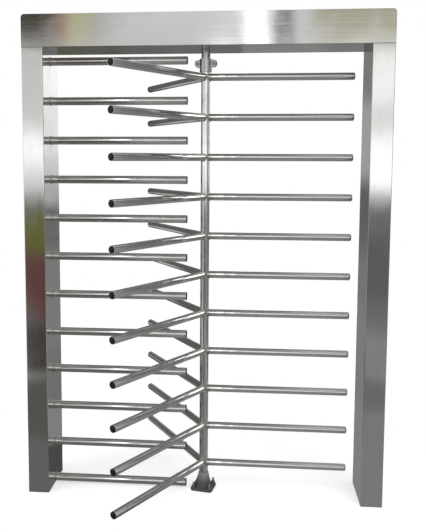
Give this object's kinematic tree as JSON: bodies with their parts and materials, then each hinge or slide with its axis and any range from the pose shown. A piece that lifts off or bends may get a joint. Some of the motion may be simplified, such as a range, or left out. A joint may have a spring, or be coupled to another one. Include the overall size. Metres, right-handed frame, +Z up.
{
  "type": "full height turnstile",
  "caption": "Full height turnstile: a sheet steel portal with a rotor of tube arms in wings that turns through a fixed comb of bars and blocks the way over its whole height.",
  "frame": {"origin": "on the rotor's axis at the floor, which is also the middle of the portal", "axes": "+Z up, +X along the right wing towards the right post, -Y towards the front that the picture shows, and the comb on the -X side"},
  "size_m": [1.69, 1.2038, 2.28],
  "materials": {
    "sheet_steel": "bright stainless sheet with a fine vertical grain",
    "tube_steel": "mirror polished stainless tube",
    "machined_steel": "turned and milled steel, lightly oiled",
    "zinc_steel": "zinc plated steel plate",
    "dark_casting": "dark painted casting",
    "black_paint": "black coated steel",
    "end_cap": "moulded black plastic"
  },
  "bodies": {
    "frame": {"left_post": "sheet_steel", "right_post": "sheet_steel", "header_channel": "sheet_steel", "header_cover": "sheet_steel", "foot_bearing_housing": "dark_casting", "head_bearing_housing": "dark_casting", "mechanism_plate": "zinc_steel", "solenoid_pair": "black_paint", "comb_bar_01": "tube_steel", "comb_bar_02": "tube_steel", "comb_bar_03": "tube_steel", "comb_bar_04": "tube_steel", "comb_bar_05": "tube_steel", "comb_bar_06": "tube_steel", "comb_bar_07": "tube_steel", "comb_bar_08": "tube_steel", "comb_bar_09": "tube_steel", "comb_bar_10": "tube_steel", "comb_bar_11": "tube_steel", "comb_bar_12": "tube_steel"},
    "rotor": {"rotor_column": "tube_steel", "drive_shaft": "machined_steel", "clamp_front_half": "machined_steel", "clamp_back_half": "machined_steel", "lock_wheel": "zinc_steel", "arm_right_01": "tube_steel", "arm_right_02": "tube_steel", "arm_right_03": "tube_steel", "arm_right_04": "tube_steel", "arm_right_05": "tube_steel", "arm_right_06": "tube_steel", "arm_right_07": "tube_steel", "arm_right_08": "tube_steel", "arm_right_09": "tube_steel", "arm_right_10": "tube_steel", "arm_right_11": "tube_steel", "arm_back_01": "tube_steel", "arm_back_02": "tube_steel", "arm_back_03": "tube_steel", "arm_back_04": "tube_steel", "arm_back_05": "tube_steel", "arm_back_06": "tube_steel", "arm_back_07": "tube_steel", "arm_back_08": "tube_steel", "arm_back_09": "tube_steel", "arm_back_10": "tube_steel", "arm_back_11": "tube_steel", "arm_front_01": "tube_steel", "arm_front_02": "tube_steel", "arm_front_03": "tube_steel", "arm_front_04": "tube_steel", "arm_front_05": "tube_steel", "arm_front_06": "tube_steel", "arm_front_07": "tube_steel", "arm_front_08": "tube_steel", "arm_front_09": "tube_steel", "arm_front_10": "tube_steel", "arm_front_11": "tube_steel"},
    "lock_bolt_a": {"lock_bolt_a": "machined_steel"},
    "lock_bolt_b": {"lock_bolt_b": "machined_steel"}
  },
  "joints": [
    {"name": "rotor_turn", "type": "hinge", "parent": "frame", "child": "rotor", "pos_m": [0, 0, 0], "axis": [0, 0, 1], "continuous": true},
    {"name": "lock_bolt_a_slide", "type": "slide", "parent": "frame", "child": "lock_bolt_a", "axis": [-0.866, -0.5, 0], "range_m": [0, 0.014], "stiffness_N_per_m": 300},
    {"name": "lock_bolt_b_slide", "type": "slide", "parent": "frame", "child": "lock_bolt_b", "axis": [-0.866, 0.5, 0], "range_m": [0, 0.014], "stiffness_N_per_m": 300}
  ]
}
